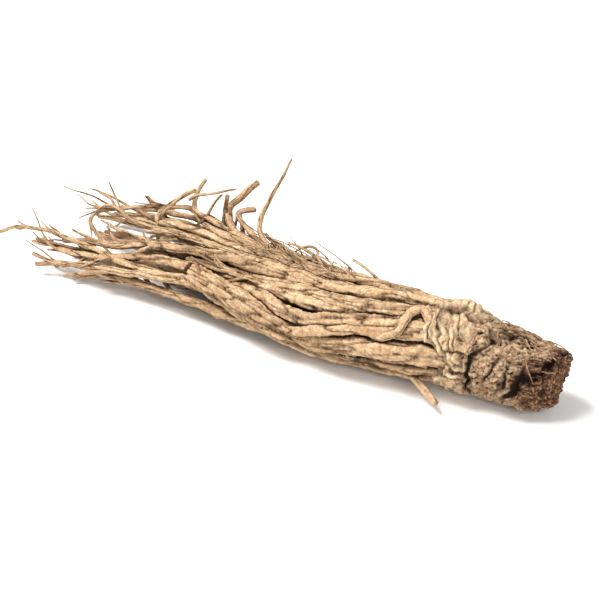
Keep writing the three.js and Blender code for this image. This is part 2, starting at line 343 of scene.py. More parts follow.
def grow(name, route, radii, seed, out=(0, 0, 1), wobble=0.7, flat=0.12, blunt=0.6, tone=0.0,
         furrows=(), cell=0.5):
    """A branch root along a route, in mm, with its radii from base to tip.

    It sways by wobble, is flattened by the share flat and rounds off over blunt times its last radius.
    Tone darkens it, each furrow is (angle, depth, width), and its points lie about one cell apart.
    """
    line, run = smooth_line(route, cell * 1.1)
    share = run / run[-1]
    # inside the crown it is thinner, so that the crown's own skin covers it
    radius = radius_along(radii, share) * (1 - 0.3 * smoothstep(0, 5, past_collar(line)))
    first, second = crosses(line, out)
    field = np.stack([run / 13, np.full_like(run, seed * 3.7), np.zeros_like(run)], axis=-1)
    sway = wobble * smoothstep(0, 12, run)
    line = line + first * (sway * uneven(field, 90))[:, None] + second * (sway * uneven(field, 91))[:, None]
    knots = 1 + 0.14 * uneven(field * [1.6, 1, 1], 92)
    rods.append((line, radius * knots * FILLED))
    tip = radii[-1] * blunt
    closing = np.sqrt(np.clip(1 - np.clip((run - run[-1] + tip) / tip, 0, 1) ** 2, 0, 1))
    closing[0] = 0
    sides = int(np.clip(2 * math.pi * max(radii) / cell, 8, 84))
    angle = np.linspace(0, 2 * math.pi, sides, endpoint=False)[None, :]
    run = run[:, None]
    radius = (radius * knots)[:, None] * np.ones_like(angle)
    height, grain, painted_shade = bark_relief(angle + 0 * run, run + 0 * angle, radius, seed)
    for at, depth, width in furrows:
        wander = at + 0.35 * uneven(np.stack([run / 16, 0 * run + at, 0 * run], axis=-1), seed + 7)
        gap = (angle - wander + math.pi) % (2 * math.pi) - math.pi
        cut = np.exp(-((gap * radius / width) ** 2)) * smoothstep(0, 6, run)
        fade = 1 - 0.85 * smoothstep(0.5, 0.68, share)[:, None]
        height = height - depth * cut * fade
        # painted shade along each furrow
        painted_shade = np.maximum(painted_shade, 0.8 * cut * fade)
    squash = flat * (1 + 0.6 * uneven(np.stack([run / 20, 0 * run + seed, 0 * run], axis=-1), 93))

    def ring_points(reach):
        """The points round the whole line, at that distance from it."""
        return (
            line[:, None, :]
            + (reach * np.cos(angle) * (1 - squash))[..., None] * first[:, None, :]
            + (reach * np.sin(angle) * (1 + squash))[..., None] * second[:, None, :]
        )

    places = ring_points((radius + height) * closing[:, None])
    places[..., 2] = np.maximum(places[..., 2], 0.02)
    shade = tone + 0.3 * uneven(grain / [9, 9, 26], seed + 6)
    shade = np.clip(shade, 0, 1)
    return rolled_sheet(name, places, grain, painted_shade, shade, outside=ring_points(radius + OFF_SKIN))


# %% [markdown]
# ## The branch roots
#
# These are the roots that can be told apart on the bundle, each by the points that it passes through. A
# root's stretch on the bundle is given as x, clock angle and depth, and its free end as x, y and z. The
# long ones have their bases inside the crown. The crossing roots are loose strands, which lean or lie
# across the others. Roots that lie side by side are kept in one piece.

# %% Routes of the branch roots
ROOTS = {
    "thick_front_root": [
        dict(radii=[6.2, 5.8, 5.2, 4.8, 5.2, 5.6, 5.4, 4.6], tone=0.0, flat=0.16, blunt=0.2, wobble=0.4,
             furrows=[(0.6, 2.4, 0.8), (-0.15, 1.8, 0.7), (1.35, 1.6, 0.6)],
             along=[(78, 205, 0.9), (52, 222, 1), (38, 222, 1), (23, 212, 1.02), (11, 184, 1.07),
                    (-6, 160, 1.12), (-20, 147, 1.14), (-30, 139, 1.12)]),
        dict(radii=[3.6, 3.5, 3.1, 2.5], tone=0.05,
             along=[(80, 168, 0.9), (62, 173, 1), (50, 176, 1), (38, 184, 1), (26, 192, 0.98),
                    (13, 186, 0.9)]),
    ],
    "sweeping_roots": [
        dict(radii=[3.2, 3.0, 2.7, 2.4, 1.9, 1.3, 0.8], tone=0.1, flat=0.05,
             along=[(76, 122, 0.9), (54, 134, 1), (35, 146, 1), (24, 155, 1.02), (12, 149, 1),
                    (-3, 138, 0.96), (-16, 146, 0.9), (-34, 158, 0.95), (-50, 165, 1), (-66, 178, 1),
                    (-82, 186, 1)],
             free=[(-97, -22, 7), (-108, -24, 9)]),
        dict(radii=[2.3, 2.0, 1.6], tone=0.15,
             along=[(74, 140, 0.95), (56, 147, 1.02), (44, 152, 1.04), (32, 164, 1.04), (20, 176, 1.02),
                    (12, 178, 0.9)]),
        dict(radii=[1.2, 1.5, 1.6, 1.4, 1.1], tone=0.0, wobble=0.2,
             along=[(71, 131, 0.98), (68, 117, 1.05), (65, 109, 1.07), (62.5, 117, 1.09), (61.5, 131, 1.09),
                    (60.5, 144, 1.06), (56, 154, 1.03), (51, 158, 0.92)]),
        dict(radii=[2.3, 2.7, 2.5, 2.2, 1.9, 1.6], tone=0.15,
             along=[(56, 122, 0.8), (42, 126, 0.92), (28, 131, 0.97), (16, 129, 0.98), (4, 126, 0.96),
                    (-8, 125, 0.9), (-22, 123, 0.78), (-40, 126, 0.74)]),
        dict(radii=[3.1, 3.0, 2.9, 2.8, 2.7, 2.6, 2.2, 1.4, 0.7], tone=0.0, flat=0.2, wobble=0.3,
             along=[(78, 94, 0.9), (60, 110, 1), (46, 116, 1.03), (32, 117, 1), (18, 117, 1.02),
                    (4, 119, 1.03), (-8, 121, 1.05), (-17, 122, 1.02), (-22, 118, 1.03),
                    (-26, 111, 1.06)]),
    ],
    "upper_roots": [
        dict(radii=[3.4, 3.3, 2.9, 2.4, 1.9, 1.3, 0.8], tone=0.0, flat=0.16,
             along=[(80, 62, 0.9), (60, 78, 1), (44, 90, 1.02), (28, 97, 1), (10, 94, 1.02), (-8, 91, 1),
                    (-26, 94, 1.02), (-44, 91, 1), (-60, 94, 1)],
             free=[(-68, 3, 21), (-76, 2, 22), (-81, 2, 25), (-87, 2, 26), (-92, 2, 23), (-95, 2, 19)]),
        dict(radii=[3.4, 3.2, 2.9, 2.5, 2.0, 1.4, 1.0, 0.9, 0.8], tone=0.1, wobble=0.4,
             along=[(60, 96, 0.7), (36, 84, 0.85), (14, 84, 0.95), (-3, 82, 1), (-16, 76, 1.02), (-31, 66, 1),
                    (-50, 47, 1)],
             free=[(-62, 24, 22), (-72, 17, 23), (-83, 8, 23), (-92, 0, 22), (-93, -4, 19), (-88, -6, 16),
                   (-80, -8, 13)]),
        dict(radii=[2.6, 2.4, 2.1, 1.6, 1.0], tone=0.2,
             along=[(50, 118, 0.8), (20, 103, 0.88), (-8, 104, 0.95), (-28, 106, 1), (-44, 114, 1),
                    (-58, 122, 1), (-70, 134, 1), (-84, 140, 1)],
             free=[(-97, -17, 15)]),
    ],
    "stray_root": [
        dict(radii=[3.0, 2.8, 2.5, 2.2, 1.5, 1.0, 0.5], tone=0.05,
             along=[(78, 42, 0.9), (56, 55, 1), (38, 62, 1.02), (24, 78, 1.02), (10, 76, 1), (-3, 66, 1)],
             free=[(-12, 9, 25), (-19, 13, 28), (-22, 18, 32), (-21, 22, 37), (-18, 26, 45), (-15, 30, 54)]),
    ],
    "long_front_roots": [
        dict(radii=[3.0, 2.7, 2.4, 2.0, 1.5, 1.1, 0.7], tone=0.1,
             along=[(72, 186, 0.85), (44, 196, 0.8), (14, 176, 0.74), (-10, 166, 0.76), (-28, 164, 0.86),
                    (-46, 160, 0.98), (-64, 157, 1), (-80, 148, 1)],
             free=[(-100, -17, 17), (-116, -19, 17), (-128, -23, 13)]),
        dict(radii=[3.4, 3.1, 2.7, 2.2, 1.6, 1.0], tone=0.25,
             along=[(76, 232, 0.9), (48, 246, 1), (20, 238, 1), (-6, 212, 1), (-30, 204, 1), (-52, 200, 1),
                    (-74, 206, 1), (-92, 206, 1)],
             free=[(-106, -25, 5)]),
        dict(radii=[3.0, 2.7, 2.3, 1.8, 1.2], tone=0.3,
             along=[(74, 262, 0.9), (46, 270, 1), (14, 262, 1), (-16, 240, 1), (-44, 226, 1), (-70, 224, 1)],
             free=[(-88, -19, 2.2)]),
        dict(radii=[2.4, 2.2, 1.8, 1.4, 1.0], tone=0.2,
             along=[(38, 128, 0.6), (14, 130, 0.8), (-14, 128, 0.92), (-34, 134, 0.98), (-56, 142, 1),
                    (-76, 160, 0.95), (-92, 172, 0.9)],
             free=[(-112, -14, 10)]),
    ],
    "under_roots": [
        dict(radii=[3.6, 3.4, 3.0, 2.4, 1.7, 1.0], tone=0.2,
             along=[(78, 288, 0.9), (48, 292, 1), (16, 290, 1), (-18, 276, 1), (-50, 262, 1), (-82, 254, 1)],
             free=[(-104, -6, 2.5)]),
        dict(radii=[4.2, 3.9, 3.4, 2.7, 1.9, 1.1], tone=0.1,
             along=[(78, 322, 0.9), (50, 318, 1), (16, 312, 1), (-20, 306, 1), (-54, 296, 1), (-84, 292, 1)],
             free=[(-108, 14, 2)]),
        dict(radii=[12, 11, 9, 6.5, 4.5, 2.6, 0.8], tone=0.6, cell=1.1,
             free=[(86, -3, 17), (60, -5, 16.5), (32, -5, 15.5), (2, -2, 14), (-30, 2, 13), (-62, 6, 11),
                   (-98, 9, 8)]),
    ],
    "back_roots": [
        dict(radii=[3.4, 3.2, 2.8, 2.3, 1.6, 0.9], tone=0.1,
             along=[(76, 350, 0.9), (46, 342, 1), (12, 338, 1), (-24, 334, 1), (-56, 326, 1)],
             free=[(-78, 29, 4), (-98, 28, 3.5), (-114, 23, 5)]),
        dict(radii=[3.9, 3.6, 3.0, 2.4, 1.7, 1.0], tone=0.0,
             along=[(78, 12, 0.9), (48, 6, 1), (16, 4, 1), (-18, 358, 1), (-50, 352, 1)],
             free=[(-72, 31, 9), (-92, 31, 7), (-108, 27, 6)]),
        dict(radii=[3.1, 2.9, 2.6, 2.2, 1.6, 1.0], tone=0.1,
             along=[(76, 32, 0.9), (50, 30, 1), (20, 30, 1), (-12, 22, 1), (-42, 20, 1)],
             free=[(-62, 27, 16), (-78, 28, 14), (-92, 24, 14)]),
    ],
    "broken_roots": [
        dict(radii=[2.8, 2.6, 2.2, 1.8, 1.5], tone=0.1, blunt=0.3,
             along=[(58, 50, 0.8), (28, 50, 0.95), (2, 46, 1), (-20, 42, 1)],
             free=[(-34, 17, 22), (-42, 24, 27), (-38, 29, 33), (-33, 33, 38)]),
        dict(radii=[2.4, 2.2, 1.8, 1.4, 1.1], tone=0.2, blunt=0.3,
             along=[(40, 66, 0.85), (12, 60, 0.95), (-12, 54, 0.98)],
             free=[(-26, 17, 23), (-36, 22, 27), (-31, 28, 28)]),
        dict(radii=[2.4, 2.0, 1.6, 1.2, 0.9], tone=0.1, blunt=0.3,
             along=[(-6, 60, 0.9), (-30, 52, 1.02)],
             free=[(-48, 19, 23), (-57, 21, 24), (-59, 25, 29), (-57, 29, 35)]),
        dict(radii=[2.2, 2.0, 1.7, 1.3, 0.9], tone=0.0, blunt=0.3,
             along=[(-14, 84, 0.9), (-38, 80, 1.02)],
             free=[(-56, 7, 23), (-66, 8, 22), (-68, 13, 24), (-65, 19, 27), (-59, 25, 31)]),
    ],
    "crossing_roots": [
        dict(radii=[1.0, 0.9, 0.9, 0.8], tone=0.15,
             free=[(-63, 4, 12), (-64, 4, 15), (-65, 6, 20), (-65, 8, 26)]),
        dict(radii=[0.9, 0.8, 0.7, 0.5], tone=0.25,
             free=[(-60, 20, 28), (-56, 22, 30.5), (-48, 23, 33), (-38, 24, 37)]),
        dict(radii=[1.0, 0.8, 0.6], tone=0.3,
             free=[(-54, 18, 19), (-51, 20, 23), (-48, 22, 29), (-45, 24, 33)]),
        dict(radii=[1.3, 1.1, 1.0, 0.9], tone=0.1,
             free=[(-34, 13, 18), (-40, 18, 21), (-42, 21, 27), (-41, 22, 35)]),
        dict(radii=[1.1, 1.0, 0.9, 0.8], tone=0.3,
             free=[(-24, 12, 18), (-30, 17, 20), (-33, 20, 25), (-35, 22, 28)]),
        dict(radii=[1.0, 0.9, 0.7, 0.5], tone=0.4,
             free=[(-32, 12, 18), (-36, 17, 20), (-36, 20, 24), (-36, 22, 28)]),
        dict(radii=[0.8, 0.7, 0.6, 0.5], tone=0.1,
             free=[(44, -3, 27), (41, 2, 29), (34, 5, 31), (27, 6, 32.5)]),
        dict(radii=[0.8, 0.7, 0.6, 0.4], tone=0.1,
             free=[(18, 0, 27), (13, 6, 27), (8, 9, 27.5), (2, 12, 27), (-1, 13, 25)]),
        dict(radii=[0.9, 0.8, 0.7, 0.5], tone=0.2,
             free=[(24, 0, 28), (15, 7, 26.5), (6, 11, 26.5), (-1, 14, 26), (-8, 16, 25)]),
        dict(radii=[0.6, 0.6, 0.5, 0.4], tone=0.1,
             free=[(4, 6, 25), (9, 10, 27), (7, 12, 29), (2, 13, 27), (-3, 13, 23)]),
        dict(radii=[1.2, 1.1, 0.9, 0.7], tone=0.3,
             free=[(26, 1, 28), (14, 6, 26), (2, 11, 24), (-13, 15, 24), (-20, 18, 25)]),
    ],
}


def route_of(root):
    """The points that a root passes through, and which way is out of the bundle at its base."""
    along, free, radii = root.get("along", []), root.get("free", []), root["radii"]
    count = len(along) + len(free)
    points = []
    for i, (x, clock, depth) in enumerate(along):
        points.append(on_envelope(x, clock, depth, radius_along(radii, i / (count - 1))))
    points += [np.array(p, float) for p in free]
    return points, outward(along[0][1] if along else 90)


# %% Grow the branch roots
SHAPING = ("tone", "flat", "blunt", "wobble", "furrows", "cell")
pieces = {}
bases = []


def join(name, parts):
    """Joins parts into one object of that name."""
    deselect_all()
    for part in parts:
        part.select_set(True)
    bpy.context.view_layer.objects.active = parts[0]
    bpy.ops.object.join()
    parts[0].name = name
    parts[0].data.name = name
    return parts[0]


seed = 0
for group, roots in ROOTS.items():
    grown = []
    for root in roots:
        seed += 10
        route, out = route_of(root)
        shaping = {key: root[key] for key in SHAPING if key in root}
        grown.append(grow(f"{group}_{seed}", route, root["radii"], seed, out, **shaping))
        bases.append((route, root["radii"], out, seed))
    pieces[group] = join(group, grown)
    print(group, len(roots), "roots,", len(pieces[group].data.polygons), "faces")

# %% [markdown]
# ## Thin roots between the thick ones
#
# A bundle this size holds many more roots than can be told apart. The thin ones lie deep between the
# thick ones, fill the gaps and come out at the far end. They are all alike, so a loop grows them: each
# starts deep in the middle of the bundle, drifts slowly round it and rises towards its outside.

# %% Thin roots
THIN_ROOTS = 26
draw = np.random.default_rng(11)
thin = []
for i in range(THIN_ROOTS):
    clock = 360 * (i + draw.uniform(0, 1)) / THIN_ROOTS
    start, end = draw.uniform(-36, -4), draw.uniform(-118, -66)
    count = 8
    drift = np.cumsum(draw.normal(0, 8, count))
    rise = np.linspace(draw.uniform(0.45, 0.6), draw.uniform(0.85, 0.98), count)
    x = np.linspace(start, end, count)
    base = draw.uniform(1.2, 2.1)
    route = [on_envelope(x[k], clock + drift[k], rise[k], base) for k in range(count)]
    radii = base * np.array([1, 0.95, 0.75, 0.5, 0.25])
    thin.append(grow(f"thin_{i}", route, radii, 500 + 10 * i, outward(clock), wobble=0.9,
                     tone=draw.uniform(0, 0.6), cell=0.6))
pieces["thin_roots"] = join("thin_roots", thin)
print("thin roots:", len(thin), "and", len(pieces["thin_roots"].data.polygons), "faces")

# %% [markdown]
# ## Rootlets
#
# Towards its tip each branch root forks into rootlets, which dry stiff and spread to all sides. Each one
# leaves a root from the list above at some way along it, and bends as it goes. Roots that are short, that
# stand up high or that are as thick as the tap root carry none.

# %% Rootlets
FORKS_PER_ROOT = 5
SHORT, THICK, HIGH = 100, 8, 36    # mm of length, base radius and height of the roots that carry none
BOX_EDGE = 6.0                     # mm that sets how near the frame's box a rootlet may end
FLATTEN = [1, 1, 0.35]             # rootlets spread more than they rise
low, high = [np.array(corner) / MM - SHIFT for corner in CAD_BOX]
rootlets = []
for number, (route, radii, _, _) in enumerate(bases):
    line, run = smooth_line(route)
    if run[-1] < SHORT or radii[0] > THICK or line[:, 2].max() > HIGH:
        continue
    along = np.gradient(line, axis=0)
    for fork in range(FORKS_PER_ROOT):
        share = draw.uniform(0.68, 0.95)
        at = int(share * (len(line) - 1))
        parent = radius_along(radii, share)
        ahead = unit(along[at])
        aside = unit(np.cross(ahead, draw.normal(0, 1, 3)) * FLATTEN)
        length = min(draw.uniform(9, 26), draw.uniform(0.4, 0.95) * (line[at, 0] - low[0] + BOX_EDGE))
        turn = draw.uniform(0.12, 0.5)
        curl = np.cross(ahead, aside) * draw.uniform(-0.45, 0.45)
        steps = np.linspace(0, length, 6)
        points = [line[at] + ahead * d * (1 - turn * 0.4) + aside * turn * d * (1 - 0.3 * d / length)
                  + curl * d * d / length for d in steps]
        points = [np.clip(p, low - BOX_EDGE + 1, high + BOX_EDGE - 1) for p in points]
        points = [np.array([p[0], p[1], max(p[2], 1.0)]) for p in points]
        base = np.clip(parent * draw.uniform(0.45, 0.7), 0.5, 1.1)
        seed = 2000 + 100 * number + fork
        rootlets.append(grow(f"rootlet_{seed}", points, [base, base * 0.85, base * 0.55], seed, aside,
                             wobble=1.0, tone=draw.uniform(0, 0.5)))
pieces["rootlets"] = join("rootlets", rootlets)
print("rootlets:", len(rootlets), "and", len(pieces["rootlets"].data.polygons), "faces")

# %% [markdown]
# ## The crown
#
# The crown is one mass that the roots grow out of, so its joints are soft and its lumps run into each
# other. A lathe shape with displaced skin would lose the branch roots' bases. So it is built as a
# sculptor would: a body that fills the envelope, knobs pressed on where the bark swells, and the bases of
# the branch roots, all melted into one skin with a voxel remesh. A little smoothing rounds the joints,
# and then the skin is wrinkled, creased and pitted.

# %% Body, knobs and root bases
CROWN_BACK = 46.0  # x where the crown's body starts, hidden under the roots
CROWN_VOXEL = 0.43 # mm across a cell of the remesh
BASE_END = 34.0    # x where the bases end, well under the free roots

# x, clock, depth, size along, size round, height: the swellings of the bark
KNOBS = [
    (82, 194, 0.97, 4.2, 4.4, 4.0),
    (85, 206, 0.95, 3.4, 4.4, 3.6),
    (77, 212, 0.93, 5.0, 4.6, 4.2),
    (81, 164, 1.0, 2.3, 2.5, 2.4),
    (85, 146, 1.0, 3.2, 4.0, 3.0),
    (79, 126, 1.0, 3.2, 7.0, 2.6),
    (71, 124, 1.0, 2.6, 7.5, 2.4),
    (94, 168, 0.97, 6.4, 8.5, 5.2),
    (98, 148, 0.97, 5.5, 6.5, 4.2),
    (94, 198, 0.92, 5.4, 6.5, 5.0),
    (103, 118, 0.93, 7.5, 5.0, 3.6),
    (93, 84, 0.97, 11.0, 4.6, 3.0),
    (87, 108, 1.0, 4.0, 3.0, 2.6),
    (108, 150, 0.88, 4.6, 4.6, 3.2),
    (106, 200, 0.86, 5.0, 6.0, 4.2),
    (106, 90, 0.96, 8.0, 4.4, 3.2),
    (112, 82, 0.97, 4.6, 3.4, 2.8),
    (110, 240, 0.85, 4.5, 5.0, 4.0),
    (96, 236, 0.9, 7.0, 6.5, 5.0),
    (80, 244, 0.92, 6.0, 6.5, 4.6),
    (92, 304, 0.9, 8.0, 7.5, 5.5),
    (78, 300, 0.93, 5.0, 6.5, 4.2),
    (104, 290, 0.88, 6.0, 6.0, 4.6),
    (83, 346, 0.93, 6.5, 7.0, 4.6),
    (97, 338, 0.9, 6.0, 6.5, 4.6),
    (104, 14, 0.9, 7.0, 6.0, 4.6),
    (90, 22, 0.95, 7.0, 5.5, 3.6),
    (76, 62, 0.97, 6.0, 6.0, 3.4),
    (80, 20, 0.95, 4.0, 6.5, 3.4),
]


def crown_body():
    """The crown's body, rolled from a sheet like a root but fitted to the envelope."""
    x = np.r_[np.linspace(CROWN_BACK, 108, 90), np.linspace(108.5, 114.8, 16)]
    angle = np.linspace(0, 360, 120, endpoint=False)
    skin = on_envelope(x[:, None], angle[None, :], 0.9)
    places = on_envelope(x[:, None], angle[None, :], 0.6 + 0.34 * smoothstep(-2.5, 2, past_collar(skin)))
    places[0] = places[0].mean(axis=0)
    places[-1] = places[-1].mean(axis=0)
    blank = np.zeros(places.shape[:2])
    return rolled_sheet("crown_body", places, places * 0, blank, blank)


def knob(x, clock, depth, along, around, height):
    """A swelling: a ball squashed along, round and out of the crown, and sunk in it."""
    centre = (on_envelope(x, clock, depth, height * 0.8) + SHIFT) * MM
    deselect_all()
    bpy.ops.mesh.primitive_uv_sphere_add(segments=28, ring_count=18, radius=MM, location=centre)
    ball = bpy.context.object
    ball.scale = (along, height, around)
    ball.rotation_euler = (math.radians(clock), 0, 0)
    bpy.ops.object.transform_apply(location=True, rotation=True, scale=True)
    return ball


def root_base(route, radii, out, number):
    """The stretch of a branch root that grows out of the crown, without its wrinkles."""
    line, run = smooth_line(route)
    radius = radius_along(radii, run / run[-1])
    kept = np.argmax(line[:, 0] < BASE_END) if line[:, 0].min() < BASE_END else len(line)
    line, radius = line[:kept:2], radius[:kept:2]
    first, second = crosses(line, out)
    angle = np.linspace(0, 2 * math.pi, 28, endpoint=False)[None, :, None]
    # the base thins below the collar, so that it sinks into the free root that covers it
    radius = radius * (0.72 + 0.26 * smoothstep(-3, 2, past_collar(line)))
    radius[[0, -1]] = 0
    ring = np.cos(angle) * first[:, None, :] * 0.9 + np.sin(angle) * second[:, None, :] * 1.1
    places = line[:, None, :] + radius[:, None, None] * ring
    places[..., 2] = np.maximum(places[..., 2], 0.05)
    blank = np.zeros(places.shape[:2])
    return rolled_sheet(f"base_{number}", places, places * 0, blank, blank)


NECK = 58          # x; a root that reaches past it grows out of the crown
grown_bases = [b for b in bases if max(p[0] for p in b[0]) > NECK]
lumps = [crown_body()] + [knob(*k) for k in KNOBS] + [root_base(*b) for b in grown_bases]
crown = join("crown", lumps)
for kind, settings in {
    "REMESH": dict(mode="VOXEL", voxel_size=CROWN_VOXEL * MM),
    "SMOOTH": dict(factor=0.5, iterations=4),
}.items():
    modifier = crown.modifiers.new(kind, kind)
    for setting, value in settings.items():
        setattr(modifier, setting, value)
    bpy.ops.object.modifier_apply(modifier=modifier.name)
print("crown skin:", len(crown.data.polygons), "faces")

# %% [markdown]
# ## Bark of the crown
#
# Where a branch root grows out, the skin takes that root's own wrinkles. The rest has bark of three kinds:
# round the neck it is drawn into folds that run across, like cloth on a bent knee; on the swollen middle
# it is pitted; and at the end, where the leaf stalks stood, it is a stack of dark dry fibres. Deep grooves
# part the lumps. A groove is a few points on the skin, each with its own depth, and wanders between them.

# %% Grooves
# width in mm, then the points: x, clock angle and depth in mm
GROOVES = [
    (0.8, [(86, 226, 1.4), (87, 193, 2.4), (86, 177, 2.2), (87, 158, 1.8), (88, 145, 1.7), (90, 132, 1.7),
           (91, 117, 1.3), (90, 104, 0.5), (88, 96, 0)]),
    (1.6, [(98, 220, 0.8), (102, 190, 2.4), (103, 172, 2.6), (104.5, 156, 2.0), (104, 140, 1.0),
           (101, 126, 0)]),
    (0.8, [(106, 156, 0.4), (109.5, 146, 2.4), (111.5, 130, 3.2), (113, 108, 3.2), (114.2, 84, 2.4)]),
    (0.5, [(107, 166, 0.4), (111, 150, 1.7), (112.6, 132, 2.0), (113.6, 114, 1.6)]),
    (0.5, [(109, 180, 0.4), (112, 160, 1.4), (113.2, 144, 1.5)]),
    (0.8, [(91, 206, 0.4), (92, 180, 1.3), (94, 156, 1.4), (96, 138, 1.0), (97, 124, 0.2)]),
    (0.8, [(95, 212, 0.4), (98, 184, 1.3), (99.5, 160, 1.4), (100.5, 140, 0.9), (99, 118, 0.2)]),
    (0.5, [(90, 186, 0.4), (94, 178, 0.9), (95, 166, 0.9), (98, 156, 0.3)]),
    (0.55, [(66, 88, 0.6), (68, 106, 1.3), (70, 122, 1.5), (71, 136, 1.5), (73, 150, 1.4), (75, 161, 1.0),
            (77, 168, 0.4)]),
    (0.5, [(69, 98, 0.3), (72, 112, 1.2), (74, 130, 1.4), (75.5, 148, 1.3), (78, 160, 0.8)]),
    (0.5, [(73, 104, 0.3), (76, 120, 1.1), (77.5, 136, 1.3), (79, 152, 1.2), (80, 158, 0.5)]),
    (0.5, [(77, 108, 0.3), (80.5, 122, 1.1), (82, 136, 1.3), (83, 144, 0.4)]),
    (0.6, [(78, 156, 1.2), (79, 166, 1.3), (81, 173, 1.2), (84, 170, 1.2), (84.5, 160, 1.2),
           (82, 155, 1.2), (78, 156, 1.2)]),
    (0.6, [(82, 155, 1.0), (85, 156, 1.2), (88, 156, 1.0)]),
    (0.6, [(74, 184, 0.6), (79, 180, 1.3), (84, 180, 1.3), (87, 184, 0.8)]),
    (0.5, [(79, 196, 0.4), (82, 188, 1.1), (85, 190, 1.1), (85, 198, 1.1), (82, 201, 0.9), (81, 196, 0.5)]),
    (0.7, [(76, 226, 0.4), (82, 218, 1.3), (87, 214, 1.0)]),
    (0.7, [(66, 90, 0.5), (71, 94, 1.5), (76, 98, 1.6), (81, 97, 1.6), (85, 101, 0.6)]),
    (0.5, [(70, 84, 0.2), (75, 88, 1.2), (80, 84, 1.2), (86, 88, 0.3)]),
    (0.6, [(94, 104, 0.3), (98, 98, 1.2), (103, 101, 1.2), (108, 96, 0.4)]),
    (0.6, [(92, 70, 0.3), (97, 76, 1.3), (103, 72, 1.2), (109, 74, 0.3)]),
    (1.2, [(84, 40, 0.3), (87, 22, 1.6), (86, 2, 1.8), (89, -20, 1.2), (88, -36, 0.2)]),
    (1.2, [(92, -30, 0.3), (90, -52, 1.8), (86, -74, 1.6), (88, -96, 0.8), (86, -120, 0.2)]),
    (1.4, [(100, 40, 0.2), (98, 14, 1.4), (102, -12, 1.6), (99, -34, 0.3)]),
    (1.4, [(101, -50, 0.2), (99, -80, 1.5), (103, -110, 1.6), (100, -136, 0.3)]),
    (0.7, [(64, 60, 0.6), (72, 50, 1.3), (78, 34, 1.3), (76, 10, 1.0), (72, -4, 0.4)]),
    (0.7, [(92, 60, 0.3), (94, 34, 1.3), (97, 6, 0.6)]),
    (0.7, [(72, 20, 0.4), (75, -20, 1.2), (71, -56, 1.4), (74, -100, 0.6)]),
    (0.7, [(80, -20, 0.3), (78, -60, 1.3), (81, -100, 1.2), (79, -136, 0.3)]),
    (0.6, [(94, -60, 0.3), (96, -100, 1.2), (94, -140, 0.3)]),
]
HOLLOWS = [  # x, clock, depth, reach: pits where the bark has rotted or broken away
    (91.5, 114, 2.0, 2.0),
    (106, 160, 2.2, 3.0),
    (105, 180, 1.8, 2.8),
    (69, 93, 1.0, 1.1),
    (77, 99, 1.4, 1.4),
    (82, 97, 1.2, 1.3),
    (93, 172, 0.9, 1.1),
    (98, 152, 0.9, 1.1),
    (96, 190, 1.0, 1.2),
    (98, 20, 1.4, 2.4),
    (91, -70, 1.4, 2.4),
]
GIRTH = 15.5       # mm, the crown's usual radius, which turns clock angles into distances


def skin_distance(x, clock, at_x, at_clock):
    """Distance over the skin from each point to one place, in mm."""
    gap = (clock - at_clock + 180) % 360 - 180
    return np.hypot(x - at_x, np.radians(gap) * GIRTH)

# %% Wrinkle, crease and pit the crown
def nearest_root(points):
    """For each point, the base it lies nearest to: gap to its skin, angle, run, radius and seed."""
    best = np.full(len(points), 1e9)
    angle, run_at, radius_at, seed_at = (np.zeros(len(points)) for _ in range(4))
    for route, radii, out, number in grown_bases:
        line, run = smooth_line(route, 1.0)
        radius = radius_along(radii, run / run[-1])
        first, second = crosses(line, out)
        kept = line[:, 0] > BASE_END - 6
        line, run, radius, first, second = (v[kept] for v in (line, run, radius, first, second))
        for chunk in np.array_split(np.arange(len(points)), 8):
            apart = np.linalg.norm(points[chunk, None, :] - line[None, :, :], axis=2) - radius[None, :]
            step = apart.argmin(axis=1)
            gap = apart[np.arange(len(chunk)), step]
            closer = gap < best[chunk]
            here, step = chunk[closer], step[closer]
            arm = points[here] - line[step]
            best[here] = gap[closer]
            angle[here] = np.arctan2(np.sum(arm * second[step], axis=1), np.sum(arm * first[step], axis=1))
            run_at[here] = run[step] + np.sum(arm * np.cross(first[step], second[step]), axis=1)
            radius_at[here] = radius[step]
            seed_at[here] = number
    return best, angle, run_at, radius_at, seed_at


def read_points(piece):
    """The piece's points in mm about the root's own axis, and their normals."""
    places, normals = (np.empty(len(piece.data.vertices) * 3) for _ in range(2))
    piece.data.vertices.foreach_get("co", places)
    piece.data.vertex_normals.foreach_get("vector", normals)
    return places.reshape(-1, 3) / MM - SHIFT, normals.reshape(-1, 3)


places, normals = read_points(crown)
gap, angle, run_at, radius_at, seed_at = nearest_root(places)
on_root = (1 - smoothstep(0.1, 1.2, gap)) * (1 - 0.8 * smoothstep(-1, 5, past_collar(places)))
root_height = np.zeros(len(places))
root_painted_shade = np.zeros(len(places))
grain = np.zeros_like(places)
for number in np.unique(seed_at):
    own = seed_at == number
    radius = radius_at[own]
    height, fibre, painted_shade = bark_relief(angle[own], run_at[own], radius, int(number))
    root_height[own], root_painted_shade[own], grain[own] = height, painted_shade, fibre

warp = np.stack([uneven(places / 3.6, 40 + k) for k in range(3)], axis=1)
clock = clock_of(places)[0]
x = places[:, 0] + 1.1 * warp[:, 0]
clock_w = clock + 5.0 * warp[:, 1]
drape = places[:, 0] - 5 * np.sin(np.radians(clock - 130)) + 0.8 * warp[:, 2]
round_y, round_z = np.cos(np.radians(clock)) * GIRTH, np.sin(np.radians(clock)) * GIRTH
around = np.stack([places[:, 0], round_y, round_z], axis=1)
swirl = places + 0.7 * warp

folded = 1 - smoothstep(81, 86, x)
crest = smoothstep(86, 92, x) * smoothstep(112, 98, clock) * smoothstep(30, 50, clock)
fibrous = np.maximum(smoothstep(103, 108, x), crest)
pitted = np.clip(1 - folded - 0.75 * fibrous, 0, 1)

